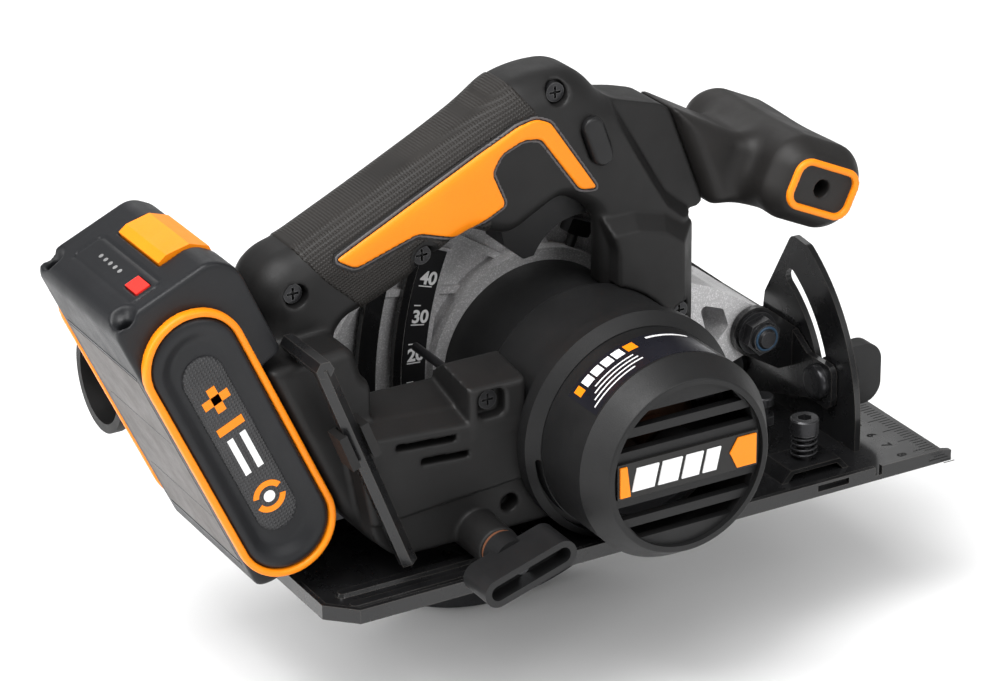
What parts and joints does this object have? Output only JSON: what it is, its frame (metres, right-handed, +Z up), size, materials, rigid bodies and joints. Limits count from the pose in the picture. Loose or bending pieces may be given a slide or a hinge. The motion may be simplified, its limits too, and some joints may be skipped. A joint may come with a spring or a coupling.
{
  "type": "cordless circular saw",
  "caption": "Battery circular saw with a slotted sole, cast blade guard, side motor, D-handle with trigger, cross-bar front handle and slide-on battery.",
  "frame": {"origin": "on the sole's underside, below the blade's axis and 50 mm to the motor side of the blade", "axes": "+X towards the front of the cut, +Y from the motor side to the blade side, +Z up from the sole"},
  "size_m": [0.3281, 0.1705, 0.2348],
  "materials": {
    "housing_plastic": "fine spark-eroded texture, satin black",
    "motor_plastic": "moulded, fine grain, satin black",
    "grip_rubber": "soft overmould with fine knurl",
    "orange_plastic": "moulded, slight satin",
    "trigger_plastic": "moulded, satin",
    "red_plastic": "moulded, glossy",
    "battery_plastic": "moulded, satin black",
    "cast_metal": "die-cast, silver metallic paint with a fine sparkle",
    "black_steel": "pressed steel, glossy black coat",
    "zinc_steel": "zinc-plated",
    "dark_steel": "black oxide, slightly oily",
    "blade_steel": "ground, with carbide tips",
    "guard_steel": "pressed, satin dark grey",
    "gear_steel": "machined",
    "copper": "varnished winding and commutator",
    "magnet": "ferrite",
    "scale_print": "black strip with white marks",
    "bronze_ring": "red-brown ring",
    "cell_wrap": "shrink-wrapped cells",
    "board": "circuit board"
  },
  "bodies": {
    "base": {"base_plate": "black_steel", "bevel_quadrant": "black_steel", "bevel_hinge_pins": "dark_steel", "bevel_stop_screw": "dark_steel", "guide_spring": "dark_steel"},
    "guide_screw": {"guide_screw": "dark_steel"},
    "tilt_frame": {"front_bracket": "black_steel", "depth_bracket": "black_steel", "depth_pivot_bolt": "dark_steel", "depth_pivot_nut": "dark_steel", "bevel_bolt": "dark_steel"},
    "bevel_knob": {"bevel_knob": "trigger_plastic"},
    "saw_body": {"upper_guard": "cast_metal", "depth_scale": "scale_print", "gear_cover": "motor_plastic", "field_can": "gear_steel", "magnets": "magnet", "brush_holders": "motor_plastic", "ball_bearings": "gear_steel", "motor_housing": "motor_plastic", "motor_end_cap": "motor_plastic", "end_badge": "orange_plastic", "housing_left": "housing_plastic", "housing_right": "housing_plastic", "grip_overmould": "grip_rubber", "accent_panels": "orange_plastic", "trigger_switch": "trigger_plastic", "trigger_spring": "zinc_steel", "front_handle_core": "housing_plastic", "front_handle_grip": "grip_rubber", "front_handle_ring": "orange_plastic", "control_board": "board", "battery_terminals": "trigger_plastic", "housing_screws": "dark_steel", "hex_key_clip": "housing_plastic", "dust_port": "housing_plastic", "depth_clamp_bolt": "zinc_steel", "knob_washer": "bronze_ring", "guard_spring": "zinc_steel"},
    "blade_drive": {"output_gear": "gear_steel", "spindle": "gear_steel", "inner_flange": "zinc_steel", "outer_flange": "zinc_steel", "blade_bolt": "dark_steel", "blade": "blade_steel"},
    "rotor": {"armature": "copper", "fan": "motor_plastic", "pinion": "gear_steel"},
    "lower_guard": {"lower_guard": "guard_steel", "guard_lever": "trigger_plastic"},
    "trigger": {"trigger": "trigger_plastic"},
    "lock_off": {"lock_off_button": "trigger_plastic"},
    "depth_knob": {"depth_knob": "trigger_plastic"},
    "hex_key": {"hex_key": "dark_steel"},
    "battery": {"battery_case": "battery_plastic", "battery_trims": "orange_plastic", "battery_cells": "cell_wrap"},
    "battery_latch": {"battery_latch": "orange_plastic"},
    "gauge_button": {"gauge_button": "red_plastic"},
    "spindle_lock": {"spindle_lock": "trigger_plastic"}
  },
  "joints": [
    {"name": "guide_screw_turn", "type": "hinge", "parent": "base", "child": "guide_screw", "pos_m": [0.093, -0.03, 0.01], "axis": [0, 0, 1], "range_deg": [0, 360]},
    {"name": "bevel_tilt", "type": "hinge", "parent": "base", "child": "tilt_frame", "pos_m": [0, 0.045, 0.012], "axis": [-1, 0, 0], "range_deg": [0, 45]},
    {"name": "bevel_knob_turn", "type": "hinge", "parent": "tilt_frame", "child": "bevel_knob", "pos_m": [0.122, -0.00801, 0.02424], "axis": [1, 0, 0], "range_deg": [0, 180]},
    {"name": "depth_swing", "type": "hinge", "parent": "tilt_frame", "child": "saw_body", "pos_m": [0.097, 0, 0.042], "axis": [0, 1, 0], "range_deg": [0, 33]},
    {"name": "blade_spin", "type": "hinge", "parent": "saw_body", "child": "blade_drive", "pos_m": [0, 0, 0.0275], "axis": [0, 1, 0], "continuous": true},
    {"name": "rotor_spin", "type": "hinge", "parent": "saw_body", "child": "rotor", "pos_m": [0.0098, 0, 0.0445], "axis": [0, 1, 0], "continuous": true},
    {"name": "guard_retract", "type": "hinge", "parent": "saw_body", "child": "lower_guard", "pos_m": [0, 0, 0.0275], "axis": [0, 1, 0], "range_deg": [0, 150], "stiffness_Nm_per_rad": 0.12, "springref_deg": -85.94},
    {"name": "trigger_pull", "type": "slide", "parent": "saw_body", "child": "trigger", "axis": [-0.4191, 0, 0.908], "range_m": [0, 0.006], "stiffness_N_per_m": 700, "springref_m": -0.006, "deforming": ["trigger_spring"]},
    {"name": "lock_off_press", "type": "slide", "parent": "saw_body", "child": "lock_off", "axis": [0, 1, 0], "range_m": [0, 0.004], "stiffness_N_per_m": 400, "springref_m": -0.003},
    {"name": "depth_knob_turn", "type": "hinge", "parent": "saw_body", "child": "depth_knob", "pos_m": [-0.05029, -0.055, 0.0147], "axis": [0, 1, 0], "range_deg": [0, 180]},
    {"name": "hex_key_pull", "type": "slide", "parent": "saw_body", "child": "hex_key", "axis": [-0.3536, 0, 0.9354], "range_m": [0, 0.085]},
    {"name": "battery_slide", "type": "slide", "parent": "saw_body", "child": "battery", "axis": [-0.4067, 0, 0.9135], "range_m": [0, 0.08]},
    {"name": "battery_latch_press", "type": "slide", "parent": "battery", "child": "battery_latch", "axis": [0.4067, 0, -0.9135], "range_m": [0, 0.003], "stiffness_N_per_m": 600, "springref_m": -0.004},
    {"name": "gauge_press", "type": "slide", "parent": "battery", "child": "gauge_button", "axis": [0.4067, 0, -0.9135], "range_m": [0, 0.0011], "stiffness_N_per_m": 400, "springref_m": -0.002},
    {"name": "spindle_lock_press", "type": "slide", "parent": "saw_body", "child": "spindle_lock", "axis": [-0.4067, 0, -0.9135], "range_m": [0, 0.003], "stiffness_N_per_m": 400, "springref_m": -0.003}
  ],
  "couplings": [
    {"joint": "rotor_spin", "follows": "blade_spin", "ratio": -4.4444}
  ]
}
